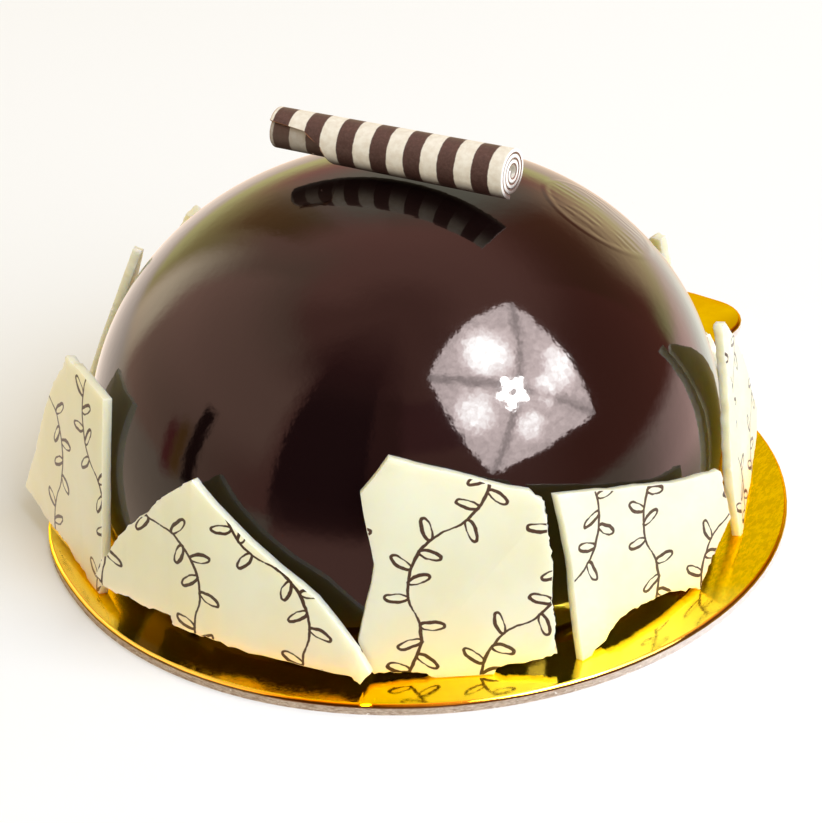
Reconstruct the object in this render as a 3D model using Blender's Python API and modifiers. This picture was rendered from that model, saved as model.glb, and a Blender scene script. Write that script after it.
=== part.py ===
"""A single-portion bombe: a half-sphere dessert under dark mirror glaze, ringed with broken
sheets of printed white chocolate and topped with a striped chocolate roll, on the small gold
card that it is lifted by.

The origin is the middle of the card's underside, +Z is up, and -Y is the front. Lengths are in
metres: a figure times MM is that many millimetres.
"""

import math
import random
from collections import namedtuple

import bmesh
import bpy
from mathutils import Euler, Vector

MM = 0.001
CLEARANCE = 0.3 * MM  # between pieces that touch

# The card: a disc with a tab to lift it by.
CARD_RADIUS = 42.5 * MM
CARD_THICKNESS = 1.3 * MM
TAB_AZIMUTH = math.radians(51)
TAB_REACH = 60 * MM  # from the card's centre to the end of the tab
TAB_WIDTH = 15 * MM
TAB_CORNER_RADIUS = 5.5 * MM
CARD_STEPS = 96  # round the whole disc
TAB_CORNER_STEPS = 8  # round each corner of the tab
# Where the disc is out of round: how far it bulges, where that is most, and how far to each
# side of there it reaches.
BULGE = 0.8 * MM
BULGE_AZIMUTH = math.radians(180)
BULGE_SPREAD = math.radians(26)

# The dome: a turned solid, widest a little above its foot and slightly squarer than a ball.
DOME_CENTRE = Vector((-1.2, 1.6)) * MM
DOME_RADIUS = 36.6 * MM
DOME_TOP = 41.9 * MM
DOME_WIDEST_HEIGHT = 8.8 * MM
DOME_FOOT_RADIUS = 34.2 * MM
DOME_SQUARENESS = 2.15  # 2 would be an ellipse
DOME_STEPS = 96
DOME_RINGS = 18
FOOT_ANGLES = (30, 60, 80)  # degrees down the curve from the widest ring to the foot

# The roll: a thin sheet wound inwards, lying across the top of the dome.
ROLL_RADIUS = 2.9 * MM
ROLL_FLARE = 0.08  # how much wider the right end is than the left, as a share of the radius
ROLL_LENGTH = 29.7 * MM
ROLL_MIDDLE = Vector((-0.8, 3.3)) * MM
ROLL_AZIMUTH = math.radians(-29.4)
ROLL_WALL = 0.5 * MM
ROLL_PITCH = 0.6 * MM  # how much each turn lies inside the one before
ROLL_TURNS = 3.3
ROLL_STEPS = 24  # in a turn
ROLL_BAYS = 4  # along its length
SEAM_ANGLE = math.radians(-70)  # where the outer edge of the sheet ends, from the front
# The broken corner of the outer turn: (angle round the roll in degrees, distance along it).
ROLL_BREAK = ((-70, 7.9 * MM), (-30, 7.4 * MM), (3, 6.8 * MM), (34, 4.5 * MM), (45, 0))
CORNER_ROOM = math.radians(3)  # no other angle is drawn this near to a corner of the break

# The sheets: broken pieces of one thin plate, stood against the dome.
SHEET_THICKNESS = 1.1 * MM
BREAK_STEP = 2.2 * MM  # the length of a facet along a broken edge
BREAK_DEPTH = 0.12 * MM  # how far a facet's end strays from a straight break
BEND_BAY = 4 * MM  # the width of a strip of a bent sheet
BREAK_SEED = 7

# azimuth: where the sheet faces, in degrees, 0 along +X. reach: from the dome's axis to the
# sheet's outer face, at the card's level. lean: degrees inwards. outline: corners in
# millimetres as seen from outside, along the card from the point that faces the axis, and up
# the sheet from the card. bend: the radius that the sheet is bent to, and where along it the
# azimuth holds.
Sheet = namedtuple("Sheet", "name azimuth reach lean outline bend", defaults=(None,))
Bend = namedtuple("Bend", "radius start")

SHEETS = (
    Sheet("sheet_front", -89.5, 39.3 * MM, 7, (
        (-5.6, 1.4), (-0.5, 0.8), (3.5, 0.1), (7.8, 0.1), (9.4, 1.3), (14.7, 2), (14.4, 9.1),
        (14.6, 12.7), (13.9, 20.3), (12.5, 21.5), (10.3, 22), (1.7, 24.9), (-2.2, 26.3),
        (-5.4, 22.3), (-4.4, 13.8), (-6.6, 5),
    )),
    Sheet("sheet_front_left", -110, 40.65 * MM, 7.2, (
        (-26.7, 5.8), (-25.4, 4.8), (-15.3, 4.2), (-14.8, 3.1), (-4.7, 2.2), (6.7, 1.7),
        (8, 1.1), (9.2, 2.3), (7.7, 4.8), (3.1, 10.3), (-5.1, 15.7), (-9.2, 18.8),
        (-11.9, 21.1), (-15.9, 18.1), (-22, 12.3),
    ), Bend(80 * MM, 7.8 * MM)),
    Sheet("sheet_left", -155.7, 40 * MM, 10, (
        (-21.3, 2.2), (-14.2, 1.5), (-9.7, 1.5), (-3.2, 0.8), (2.3, 0.2), (3, 2.5),
        (2, 5.5), (0.4, 13.7), (-1.1, 22.9), (-3.3, 23), (-7, 23.1), (-12.3, 23),
        (-17, 15.4), (-19.1, 8.1),
    )),
    Sheet("sheet_back_left", 167, 42.9 * MM, 20, (
        (-14.5, 5), (-8, 3.5), (-1.5, 4), (-3.2, 18), (-7.9, 28.2), (-9.4, 27.6), (-12.5, 21),
        (-15.5, 12),
    )),
    Sheet("sheet_rear_left", 134, 40.5 * MM, 12, (
        (-9.5, 0), (-2, 1.2), (7, 0), (8.5, 7), (5.5, 16.5), (0.6, 26.4), (-0.9, 26.9),
        (-6, 17), (-11, 9),
    )),
    Sheet("sheet_rear", 103, 39.9 * MM, 9, (
        (-8.5, 1.2), (0.5, 0), (8, 0.4), (7.5, 10), (9, 18.5), (1, 21), (-7, 19), (-10, 9.5),
    )),
    Sheet("sheet_rear_right", 72, 39.6 * MM, 8, (
        (-8.5, 0), (1, 1.4), (9, 0), (9.5, 8), (6, 17), (-2.5, 20.5), (-9.7, 13.5),
    )),
    Sheet("sheet_back_right", 42, 40.5 * MM, 12, (
        (-8.3, 0.8), (-1, 0), (8, 0.8), (8.8, 8), (3, 14), (-6.4, 23.2), (-7.9, 23.4),
    )),
    Sheet("sheet_right_rear", 18, 39.4 * MM, 7, (
        (-6.2, 0.3), (0, 1), (6.6, 0), (7.4, 6), (3.5, 12), (-1, 13.5), (-6, 10.4),
    )),
    Sheet("sheet_right", -12, 39.5 * MM, 5, (
        (-4, 0.1), (0, 1.2), (5, 1.5), (11.4, 2.8), (13.4, 3.4), (15, 5.3), (12.8, 8.2),
        (11, 12.6), (6.9, 18), (3.9, 21.2), (-0.4, 25), (-1.2, 24.4), (-1.7, 19),
        (-1.3, 15), (-2, 11.3), (-2.8, 7.6), (-3.4, 4),
    )),
    Sheet("sheet_right_front", -26, 39.5 * MM, 6, (
        (4.3, 0.3), (5.1, 0.3), (5.6, 4.2), (6, 8), (6.7, 11.3), (7.3, 15), (6.9, 19),
        (6.9, 23.5), (7.2, 26), (6.3, 26.1), (6.1, 22.5), (5.9, 19.2), (5.4, 15.7),
        (4.6, 12.4), (3.9, 9), (3.9, 5.5),
    )),
    Sheet("sheet_front_right", -46.2, 39.5 * MM, 7.2, (
        (-12, 0), (-9.2, 0.9), (-8, 2), (-4.2, 2.6), (2, 1.8), (5.1, 0.7), (6.4, 0.3),
        (8.9, 3.2), (12.3, 6.5), (11.7, 12.4), (4.3, 14.2), (-3.3, 16.9), (-8.8, 18.9),
        (-13.4, 20.5), (-12.7, 12.7), (-13, 6.5), (-13, 0),
    )),
)


def clear_scene():
    for old in list(bpy.data.objects):
        bpy.data.objects.remove(old)


def make_material(name, colour, roughness, metallic=0.0):
    material = bpy.data.materials.new(name)
    material.use_nodes = True
    shader = material.node_tree.nodes["Principled BSDF"]
    shader.inputs["Base Color"].default_value = (*colour, 1)
    shader.inputs["Roughness"].default_value = roughness
    shader.inputs["Metallic"].default_value = metallic
    return material


def add_object(name, data, material):
    """An object for the data, in the dessert's collection and with its material."""
    obj = bpy.data.objects.new(name, data)
    obj.data.materials.append(material)
    bpy.data.collections["bombe"].objects.link(obj)
    return obj


def mesh_of(bm, name):
    mesh = bpy.data.meshes.new(name)
    bm.to_mesh(mesh)
    bm.free()
    return mesh


def flat_outline(name, points, thickness):
    """A 2D curve round the points, filled, and extruded to the thickness about its plane."""
    curve = bpy.data.curves.new(name, "CURVE")
    curve.dimensions = "2D"
    curve.fill_mode = "BOTH"
    curve.extrude = thickness / 2
    spline = curve.splines.new("POLY")
    spline.points.add(len(points) - 1)
    for point, (x, y) in zip(spline.points, points):
        point.co = (x, y, 0, 1)
    spline.use_cyclic_u = True
    return curve


def arc(centre, radius, start, sweep, steps):
    """Points from the start angle through the sweep, both ends included."""
    angles = [start + sweep * i / steps for i in range(steps + 1)]
    return [centre + radius * Vector((math.cos(a), math.sin(a))) for a in angles]


def bulged(point):
    """A point of the round rim, drawn with the tab along +X, moved out where the disc bulges."""
    azimuth = math.atan2(point.y, point.x) + TAB_AZIMUTH
    away = abs((azimuth - BULGE_AZIMUTH + math.pi) % (2 * math.pi) - math.pi)
    share = max(0, 1 - away / BULGE_SPREAD)
    out = BULGE * math.sin(math.pi / 2 * share) ** 2
    return point * (1 + out / point.length)


def make_card():
    """The disc and its tab in one outline, drawn with the tab along +X and then turned."""
    half_width = TAB_WIDTH / 2
    join = math.asin(half_width / CARD_RADIUS)
    corner_x = TAB_REACH - TAB_CORNER_RADIUS
    corner_y = half_width - TAB_CORNER_RADIUS
    quarter = math.pi / 2
    rim = arc(Vector((0, 0)), CARD_RADIUS, join, 2 * math.pi - 2 * join, CARD_STEPS)
    points = [bulged(point) for point in rim]
    for side, start in ((-1, -quarter), (1, 0)):
        corner = Vector((corner_x, side * corner_y))
        points += arc(corner, TAB_CORNER_RADIUS, start, quarter, TAB_CORNER_STEPS)
    gold = make_material("gold_card", (0.83, 0.58, 0.04), 0.15, 1.0)
    card = add_object("cake_card", flat_outline("cake_card", points, CARD_THICKNESS), gold)
    card.location.z = CARD_THICKNESS / 2
    card.rotation_euler.z = TAB_AZIMUTH


def dome_profile():
    """From the pole down the outer side to the middle of the underside, as (radius, height)."""
    rise = DOME_TOP - DOME_WIDEST_HEIGHT
    power = 2 / DOME_SQUARENESS
    points = [(0, DOME_TOP)]
    for i in range(1, DOME_RINGS + 1):
        angle = math.pi / 2 * (1 - i / DOME_RINGS)
        points.append((
            DOME_RADIUS * math.cos(angle) ** power,
            DOME_WIDEST_HEIGHT + rise * math.sin(angle) ** power,
        ))
    underside = CARD_THICKNESS + CLEARANCE
    tuck = DOME_WIDEST_HEIGHT - underside
    for angle in (math.radians(degrees) for degrees in FOOT_ANGLES):
        inset = (DOME_RADIUS - DOME_FOOT_RADIUS) * (1 - math.cos(angle))
        points.append((DOME_RADIUS - inset, DOME_WIDEST_HEIGHT - tuck * math.sin(angle)))
    points.append((DOME_FOOT_RADIUS, underside))
    points.append((0, underside))
    return points


def make_dome():
    bm = bmesh.new()
    corners = [bm.verts.new((radius, 0, height)) for radius, height in dome_profile()]
    for above, below in zip(corners, corners[1:]):
        bm.edges.new((above, below))
    glaze = make_material("dark_glaze", (0.022, 0.008, 0.009), 0.05)
    dome = add_object("dome", mesh_of(bm, "dome"), glaze)
    dome.location = (*DOME_CENTRE, 0)
    screw = dome.modifiers.new("turn", "SCREW")
    screw.steps = screw.render_steps = DOME_STEPS
    screw.use_merge_vertices = True
    screw.merge_threshold = 0.01 * MM


def broken_end(angle):
    """How far along the roll the sheet begins, at an angle round it from the front."""
    degrees = math.degrees(angle)
    for (low, at_low), (high, at_high) in zip(ROLL_BREAK, ROLL_BREAK[1:]):
        if low <= degrees <= high:
            return at_low + (at_high - at_low) * (degrees - low) / (high - low)
    return 0


def roll_angles():
    """The angles at which the sheet is drawn, from its outer edge inwards, with the corners
    of the break among them."""
    steps = round(ROLL_TURNS * ROLL_STEPS)
    angles = {SEAM_ANGLE + 2 * math.pi * ROLL_TURNS * i / steps for i in range(steps + 1)}
    corners = {math.radians(degrees) for degrees, _ in ROLL_BREAK[1:]}
    kept = {a for a in angles if all(abs(a - c) > CORNER_ROOM for c in corners)}
    return sorted(kept | corners)


def make_roll():
    """The sheet's outer face is a spiral grid drawn along +X, to which Solidify adds the wall.
    The front of the roll is -Y before it is turned."""
    bm = bmesh.new()
    columns = []
    for angle in roll_angles():
        radius = ROLL_RADIUS - ROLL_PITCH * (angle - SEAM_ANGLE) / (2 * math.pi)
        start = broken_end(angle)
        column = []
        for i in range(ROLL_BAYS + 1):
            along = start + (ROLL_LENGTH - start) * i / ROLL_BAYS - ROLL_LENGTH / 2
            out = radius * (1 + ROLL_FLARE * along / ROLL_LENGTH)
            place = (along, -out * math.cos(angle), out * math.sin(angle))
            column.append(bm.verts.new(place))
        columns.append(column)
    for outer, inner in zip(columns, columns[1:]):
        for i in range(ROLL_BAYS):
            bm.faces.new((outer[i], outer[i + 1], inner[i + 1], inner[i]))
    chocolate = make_material("striped_chocolate", (0.33, 0.25, 0.2), 0.4)
    roll = add_object("chocolate_roll", mesh_of(bm, "chocolate_roll"), chocolate)
    roll.location = (*ROLL_MIDDLE, DOME_TOP + CLEARANCE + ROLL_RADIUS)
    roll.rotation_euler.z = ROLL_AZIMUTH
    wall = roll.modifiers.new("wall", "SOLIDIFY")
    wall.thickness = ROLL_WALL
    wall.offset = -1


def broken_outline(sheet, draw):
    """The sheet's corners with its breaks split into short, slightly uneven facets. The lowest
    points stop clear of the card."""
    corners = [Vector(corner) * MM for corner in sheet.outline]
    lowest = CLEARANCE + SHEET_THICKNESS * math.sin(math.radians(sheet.lean))
    points = []
    for corner, following in zip(corners, corners[1:] + corners[:1]):
        side = following - corner
        across = Vector((-side.y, side.x)).normalized()
        facets = max(1, round(side.length / BREAK_STEP))
        points.append(corner)
        for i in range(1, facets):
            points.append(corner + side * i / facets + across * draw.uniform(-1, 1) * BREAK_DEPTH)
    return [(x, max(y, lowest)) for x, y in points]


def bend_sheet(flat, bend):
    """A mesh of the flat piece, cut into upright strips and bent round behind its face."""
    graph = bpy.context.evaluated_depsgraph_get()
    mesh = bpy.data.meshes.new_from_object(flat.evaluated_get(graph))
    bm = bmesh.new()
    bm.from_mesh(mesh)
    bmesh.ops.remove_doubles(bm, verts=bm.verts, dist=0.001 * MM)
    left = min(vert.co.x for vert in bm.verts)
    right = max(vert.co.x for vert in bm.verts)
    for i in range(1, round((right - left) / BEND_BAY)):
        everything = bm.verts[:] + bm.edges[:] + bm.faces[:]
        cut = (left + i * BEND_BAY, 0, 0)
        bmesh.ops.bisect_plane(bm, geom=everything, plane_co=cut, plane_no=(1, 0, 0))
    bmesh.ops.triangulate(bm, faces=bm.faces)
    for vert in bm.verts:
        angle = (vert.co.x - bend.start) / bend.radius
        radius = bend.radius + vert.co.z
        vert.co.x = bend.start + radius * math.sin(angle)
        vert.co.z = radius * math.cos(angle) - bend.radius
    bm.to_mesh(mesh)
    bm.free()
    return mesh


def make_sheet(sheet, white, draw):
    """One broken piece, drawn lying down with its outer face up, then stood against the dome."""
    points = broken_outline(sheet, draw)
    piece = add_object(sheet.name, flat_outline(sheet.name, points, SHEET_THICKNESS), white)
    if sheet.bend:
        flat = piece
        mesh = bend_sheet(flat, sheet.bend)
        bpy.data.objects.remove(flat)
        piece = add_object(sheet.name, mesh, white)
    azimuth = math.radians(sheet.azimuth)
    stand = Euler((math.pi / 2 - math.radians(sheet.lean), 0, azimuth + math.pi / 2))
    outwards = stand.to_matrix() @ Vector((0, 0, 1))
    foot = Vector((*DOME_CENTRE, CARD_THICKNESS))
    foot += sheet.reach * Vector((math.cos(azimuth), math.sin(azimuth), 0))
    piece.location = foot - outwards * SHEET_THICKNESS / 2
    piece.rotation_euler = stand


def main():
    clear_scene()
    bpy.context.scene.collection.children.link(bpy.data.collections.new("bombe"))
    make_card()
    make_dome()
    make_roll()
    white = make_material("white_chocolate", (0.87, 0.8, 0.6), 0.35)
    draw = random.Random(BREAK_SEED)
    for sheet in SHEETS:
        make_sheet(sheet, white, draw)


main()
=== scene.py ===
# %% [markdown]
# # A bombe on its gold card
#
# A bombe is a dessert that is frozen in a half-sphere mould and then covered with glaze. This
# one stands on a small gold card, with broken sheets of printed white chocolate pressed round
# its foot and a striped chocolate roll on top. The solids come packed, in metres, with +Z up and
# the front towards -Y. Each of them is dressed here by a finer piece that stands in its place.

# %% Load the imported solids
import math

import bmesh
import bpy
from mathutils import Euler, Matrix, Quaternion, Vector, noise


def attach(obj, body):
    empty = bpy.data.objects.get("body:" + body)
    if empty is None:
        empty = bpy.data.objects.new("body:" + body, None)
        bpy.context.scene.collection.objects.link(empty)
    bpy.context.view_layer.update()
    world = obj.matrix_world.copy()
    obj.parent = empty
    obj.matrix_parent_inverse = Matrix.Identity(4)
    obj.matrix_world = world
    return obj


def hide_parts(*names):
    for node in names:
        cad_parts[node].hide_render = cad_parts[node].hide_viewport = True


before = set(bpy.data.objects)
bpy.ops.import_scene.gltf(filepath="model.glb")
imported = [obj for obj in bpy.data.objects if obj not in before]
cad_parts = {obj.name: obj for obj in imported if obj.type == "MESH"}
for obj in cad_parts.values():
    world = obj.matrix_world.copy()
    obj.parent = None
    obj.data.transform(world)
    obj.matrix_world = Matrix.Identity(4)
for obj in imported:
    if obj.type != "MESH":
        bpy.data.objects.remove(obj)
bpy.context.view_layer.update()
scene = bpy.context.scene
MM = 0.001
print("solids:", ", ".join(sorted(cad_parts)))

# %% [markdown]
# ## The camera
#
# A long lens looks down at the dessert by some 30 degrees, from the front. Pointing a camera is
# a matter of two turns: one that aims it, and a small roll about the line of sight, because the
# frame isn't quite level.

# %% Camera
CAMERA_PLACE = Vector((0, -400.85, 240.57)) * MM
CAMERA_AIM = Vector((-0.44, 0, 13.33)) * MM
CAMERA_ROLL = math.radians(-3.1)

camera_data = bpy.data.cameras.new("camera")
camera_data.sensor_width = 36
camera_data.lens = 175.58
camera_data.clip_start = 0.01
camera = bpy.data.objects.new("camera", camera_data)
scene.collection.objects.link(camera)
sight = (CAMERA_AIM - CAMERA_PLACE).normalized()
camera.location = CAMERA_PLACE
camera.rotation_mode = "QUATERNION"
camera.rotation_quaternion = sight.to_track_quat("-Z", "Y") @ Quaternion((0, 0, 1), CAMERA_ROLL)
scene.camera = camera
scene.view_settings.view_transform = "Standard"
print("camera looks down by", round(math.degrees(-math.asin(sight.z)), 1), "degrees")

# %% [markdown]
# ## A helper for finishes
#
# A finish is a small graph of nodes that ends in a shader. Writing each node and its links by
# hand takes many lines, so this helper makes a node, sets its options and fills its inputs in
# one call: an input that is given a socket is linked, and one that is given a number is set.

# %% Finish helper
class Finish:
    """A node tree under construction: a material's, a world's or a group's."""

    def __init__(self, tree):
        self.tree = tree

    def node(self, kind, inputs=None, **options):
        made = self.tree.nodes.new("ShaderNode" + kind)
        for option, value in options.items():
            setattr(made, option, value)
        for name, value in (inputs or {}).items():
            self.fill(made.inputs[name], value)
        return made

    def fill(self, socket, value):
        if isinstance(value, bpy.types.NodeSocket):
            self.tree.links.new(value, socket)
        else:
            socket.default_value = value

    def math(self, operation, first, second=0.0, third=0.0, clamp=False):
        return self.node("Math", {0: first, 1: second, 2: third},
                         operation=operation, use_clamp=clamp).outputs[0]

    def vector(self, operation, first, second=(0, 0, 0)):
        made = self.node("VectorMath", {0: first}, operation=operation)
        self.fill(made.inputs["Scale" if operation == "SCALE" else 1], second)
        single = operation in ("LENGTH", "DOT_PRODUCT", "DISTANCE")
        return made.outputs["Value" if single else "Vector"]

    def ramp(self, value, low, high, to_low=0.0, to_high=1.0):
        """The value, eased from one range into another and held at its ends."""
        return self.node("MapRange", {0: value, 1: low, 2: high, 3: to_low, 4: to_high},
                         interpolation_type="SMOOTHSTEP").outputs[0]

    def mix(self, share, first, second):
        """A colour between two colours."""
        return self.node("Mix", {0: share, 6: first, 7: second}, data_type="RGBA").outputs[2]

    def grain(self, place, scale, detail=2.0, roughness=0.5):
        """Cloudy noise, about 0.5 on average."""
        return self.node("TexNoise", {"Vector": place, "Scale": scale, "Detail": detail,
                                      "Roughness": roughness}).outputs[0]

    def specks(self, place, scale, threshold, outer, inner):
        """1 on round specks, one in the middle of each cell whose random number is high."""
        cell = self.node("TexVoronoi", {"Vector": place, "Scale": scale}, feature="F1")
        chance = self.node("SeparateColor", {0: cell.outputs["Color"]}).outputs[0]
        picked = self.math("GREATER_THAN", chance, threshold)
        return self.math("MULTIPLY", self.ramp(cell.outputs["Distance"], outer, inner), picked)

    def relief(self, height, depth, over=None):
        """A normal for bumps of a depth in metres, on top of another relief if there is one."""
        inputs = {"Height": height, "Strength": 1.0, "Distance": depth}
        if over is not None:
            inputs["Normal"] = over
        return self.node("Bump", inputs).outputs[0]


def colour(red, green, blue):
    return (red, green, blue, 1.0)


def new_finish(name):
    """A material, the helper for its nodes, and its shader."""
    material = bpy.data.materials.new(name)
    material.use_nodes = True
    made = Finish(material.node_tree)
    return material, made, material.node_tree.nodes["Principled BSDF"]


print("finish helper ready")

# %% [markdown]
# ## The room
#
# A mirror glaze shows little of its own colour: what it looks like is what it reflects. So the
# room is built with care, even though none of it is in the picture. It is one warm colour all
# round, with panels in front of it, each of which fills a range of directions with its own
# colour, with soft edges. A later panel covers the earlier ones. Only the reflections see them,
# also in place of the table. The matt surfaces get an even, warm light instead, and the camera
# sees a plain white backdrop.

# %% Room light
ROOM_COLOUR = (1.03, 0.43, 0.34)
PANELS = (
    # azimuth from and to, elevation from and to, softness of both in degrees, colour
    (-25, 153, 43, 76, 18, 8, (1.48, 0.66, 0.52)),
    (116, 202, -20, 61, 18, 6, (1.25, 0.75, 0.55)),
    (104, 126, -20, 26, 6.5, 15.5, (1.13, 0.88, 0.35)),
    (-38, 66, -18, 46, 18, 16, (0.68, 0.20, 0.13)),
    (36, 119, -20, 6, 4, 5.5, (1.47, 1.31, 0.57)),
    (32, 92, 19, 40, 2, 16, (0.49, 0.18, 0.08)),
    (-103, -50, 30, 52, 7.5, 3, (0.68, 0.23, 0.22)),
    (-156, -92, 46, 76, 18, 16, (0.41, 0.13, 0.12)),
    (-135, -92, -4, 55, 4, 5, (0.40, 0.14, 0.12)),
    (-140, -105, -5, 57, 1.6, 16, (0.12, 0.04, 0.05)),
    (-180, 1, -95, -8, 19, 5, (1.28, 0.61, 0.49)),
    (-30, 221, -95, -3, 2, 3, (1.25, 0.95, 0.72)),
    (2, 62, -22, -2, 18, 5, (2.67, 1.72, 1.53)),
    (44, 70, 1, 14, 7, 14, (2.50, 1.84, 1.00)),
    (123, 138, -3, 28, 4.5, 16, (2.95, 2.38, 1.68)),
    (103, 116, 17, 43, 2.6, 8.5, (0.65, 0.34, 0.13)),
    (134, 216, 17, 53, 5, 11.5, (1.73, 0.98, 0.75)),
    (49, 73, -30, -11, 9, 16, (1.95, 2.06, 1.80)),
    (98, 135, -34, -4, 8, 4, (1.62, 1.35, 1.15)),
    (70, 102, 16, 44, 9, 9, (0.88, 0.82, 0.64)),  # what the flat foil mirrors to the camera
    (173, 179, -6, 10, 2, 4, (0.70, 0.16, 0.15)),  # red, amber and black things at the left
    (178, 183, -5, 13, 2, 4, (0.80, 0.38, 0.10)),
    (184, 190, -5, 23, 1.5, 2, (0.04, 0.02, 0.02)),
)
FILL = (0.72, 0.62, 0.43)  # light on the matt surfaces


def direction(azimuth, elevation):
    across = math.cos(math.radians(elevation))
    return Vector((math.cos(math.radians(azimuth)) * across,
                   math.sin(math.radians(azimuth)) * across,
                   math.sin(math.radians(elevation))))


world = bpy.data.worlds.new("room")
scene.world = world
world.use_nodes = True
world.cycles.sampling_method = "NONE"
room = Finish(world.node_tree)
towards = room.vector("NORMALIZE", room.node("TexCoord").outputs["Generated"])
height = room.node("SeparateXYZ", {0: towards}).outputs[2]


def panel_share(az_from, az_to, el_from, el_to, az_soft, el_soft):
    """1 in the middle of the panel and 0 outside it."""
    middle = direction((az_from + az_to) / 2, 0)
    level = room.vector("NORMALIZE", room.vector("MULTIPLY", towards, (1, 1, 0)))
    away = room.math("ARCCOSINE", room.vector("DOT_PRODUCT", level, middle))
    half = math.radians(az_to - az_from) / 2
    beside = room.ramp(away, half + math.radians(az_soft), half - math.radians(az_soft))
    up = room.math("ARCSINE", height)
    above = room.ramp(up, math.radians(el_from - el_soft), math.radians(el_from + el_soft))
    below = room.ramp(up, math.radians(el_to + el_soft), math.radians(el_to - el_soft))
    return room.math("MULTIPLY", beside, room.math("MULTIPLY", above, below))


mirrored = (*ROOM_COLOUR, 1.0)
for *span, tint in PANELS:
    mirrored = room.mix(panel_share(*span), mirrored, (*tint, 1.0))
backdrop = room.node("Background", {"Color": colour(1, 1, 1)})
panelled = room.node("Background", {"Color": mirrored})
even = room.node("Background", {"Color": (*FILL, 1.0)})
ray = room.node("LightPath")
unseen = room.node("MixShader", {0: ray.outputs["Is Glossy Ray"], 1: even.outputs[0],
                                 2: panelled.outputs[0]})
room_mix = room.node("MixShader", {0: ray.outputs["Is Camera Ray"], 1: unseen.outputs[0],
                                   2: backdrop.outputs[0]})
world_output = world.node_tree.nodes["World Output"]
room.fill(world_output.inputs["Surface"], room_mix.outputs[0])
print("room:", len(PANELS), "panels")

# %% [markdown]
# ## The softbox
#
# The main light is a square softbox high at the front right. Its reflection is the one bright
# shape on the dome, with a hot middle, pale fields and a darker rib towards each corner. It
# is made in two parts: a flat grid that only reflections see, with its pattern drawn from
# distances on its own UV map, and an area lamp in the same place that lights the matt surfaces.

# %% Softbox
SOFTBOX_PLACE = Vector((712, -548, 851)) * MM
SOFTBOX_CORNERS = (Vector((-530, -595)), Vector((560, -545)),
                   Vector((-400, 515)), Vector((630, 650)))  # in mm from its middle
SOFTBOX_LIGHT = 15.5
SOFTBOX_FIELDS = (
    # place on the UV map, radius, extra light
    ((-0.02, 0.68, 0), 0.52, 1.35),
    ((0.76, -0.12, 0), 0.40, 1.0),
    ((0.34, -0.26, 0), 0.26, 0.9),
    ((-0.76, 0.10, 0), 0.46, 0.95),
    ((-0.12, -0.57, 0), 0.30, 0.8),
)
HOT_MIDDLE = (-0.11, 0, 0)
LAMP_SIZE = 1.2
LAMP_POWER = 15.0
LAMP_COLOUR = (0.84, 1.0, 1.3)


def softbox_finish():
    """Emission: a level field, brighter ones on it, a hot middle with petals, and dark ribs."""
    material = bpy.data.materials.new("softbox")
    material.use_nodes = True
    lamp = Finish(material.node_tree)
    lamp.tree.nodes.clear()
    place = lamp.node("TexCoord").outputs["UV"]
    crumple = lamp.node("TexNoise", {"Vector": place, "Scale": 5.0, "Detail": 3.0}).outputs["Color"]
    crumple = lamp.vector("SUBTRACT", crumple, (0.5, 0.5, 0.5))

    def crumpled(amount):
        return lamp.vector("ADD", place, lamp.vector("SCALE", crumple, amount))

    x, y, _ = lamp.node("SeparateXYZ", {0: crumpled(0.1)}).outputs
    ragged_x, ragged_y, _ = lamp.node("SeparateXYZ", {0: crumpled(0.12)}).outputs
    radius = lamp.vector("DISTANCE", place, HOT_MIDDLE)
    level = lamp.ramp(radius, 0.2, 1.3, 1.0, 0.85)
    for spot, size, extra in SOFTBOX_FIELDS:
        away = lamp.vector("DISTANCE", crumpled(0.25), spot)
        level = lamp.math("ADD", level, lamp.ramp(away, size, 0.1, 0, extra))
    off_rib = lamp.math("ABSOLUTE", lamp.math("SUBTRACT", lamp.math("ABSOLUTE", x),
                                              lamp.math("ABSOLUTE", y)))
    level = lamp.math("MULTIPLY", level, lamp.ramp(off_rib, 0.0, 0.17, 0.5, 1.0))
    cloudy = lamp.ramp(lamp.grain(place, 13, 5, 0.7), 0.3, 0.7, 0.68, 1.2)
    level = lamp.math("MULTIPLY", level, cloudy)
    round_middle = lamp.math("ARCTAN2", lamp.math("SUBTRACT", x, HOT_MIDDLE[0]), y)
    petals = lamp.math("ABSOLUTE", lamp.math("COSINE", lamp.math("MULTIPLY", round_middle, 2.5)))
    flower = lamp.math("MULTIPLY_ADD", petals, 0.10, 0.145)
    hot = lamp.math("LESS_THAN", radius, flower)
    dark_dot = lamp.math("GREATER_THAN", radius, 0.055)
    level = lamp.math("MULTIPLY_ADD", lamp.math("MULTIPLY", hot, dark_dot), 3.0, level)
    tone = lamp.mix(lamp.ramp(level, 0.9, 2.0), colour(1.0, 0.82, 0.80), colour(1.0, 0.97, 0.96))
    cloth = lamp.node("Emission", {"Color": tone,
                                   "Strength": lamp.math("MULTIPLY", level, SOFTBOX_LIGHT)})

    def share_of_way(ragged, bowed, along, bow):
        """How far out a point is as a share of the way to the edge, where one side bows out."""
        bulge = lamp.math("MULTIPLY_ADD", along, lamp.math("MULTIPLY", along, -bow), 1 + bow)
        edge = lamp.math("MAXIMUM", lamp.math("MULTIPLY", bowed, bulge), 1.0)
        return lamp.math("DIVIDE", lamp.math("ABSOLUTE", ragged), edge)

    far_x = share_of_way(ragged_x, lamp.math("LESS_THAN", x, 0), y, 0.16)
    far_y = share_of_way(ragged_y, lamp.math("GREATER_THAN", y, 0), x, 0.2)
    outside = lamp.ramp(lamp.math("MAXIMUM", far_x, far_y), 0.98, 1.02)
    shape = lamp.node("MixShader", {0: outside, 1: cloth.outputs[0],
                                    2: lamp.node("BsdfTransparent").outputs[0]})
    output = lamp.node("OutputMaterial")
    lamp.fill(output.inputs["Surface"], shape.outputs[0])
    return material


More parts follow.
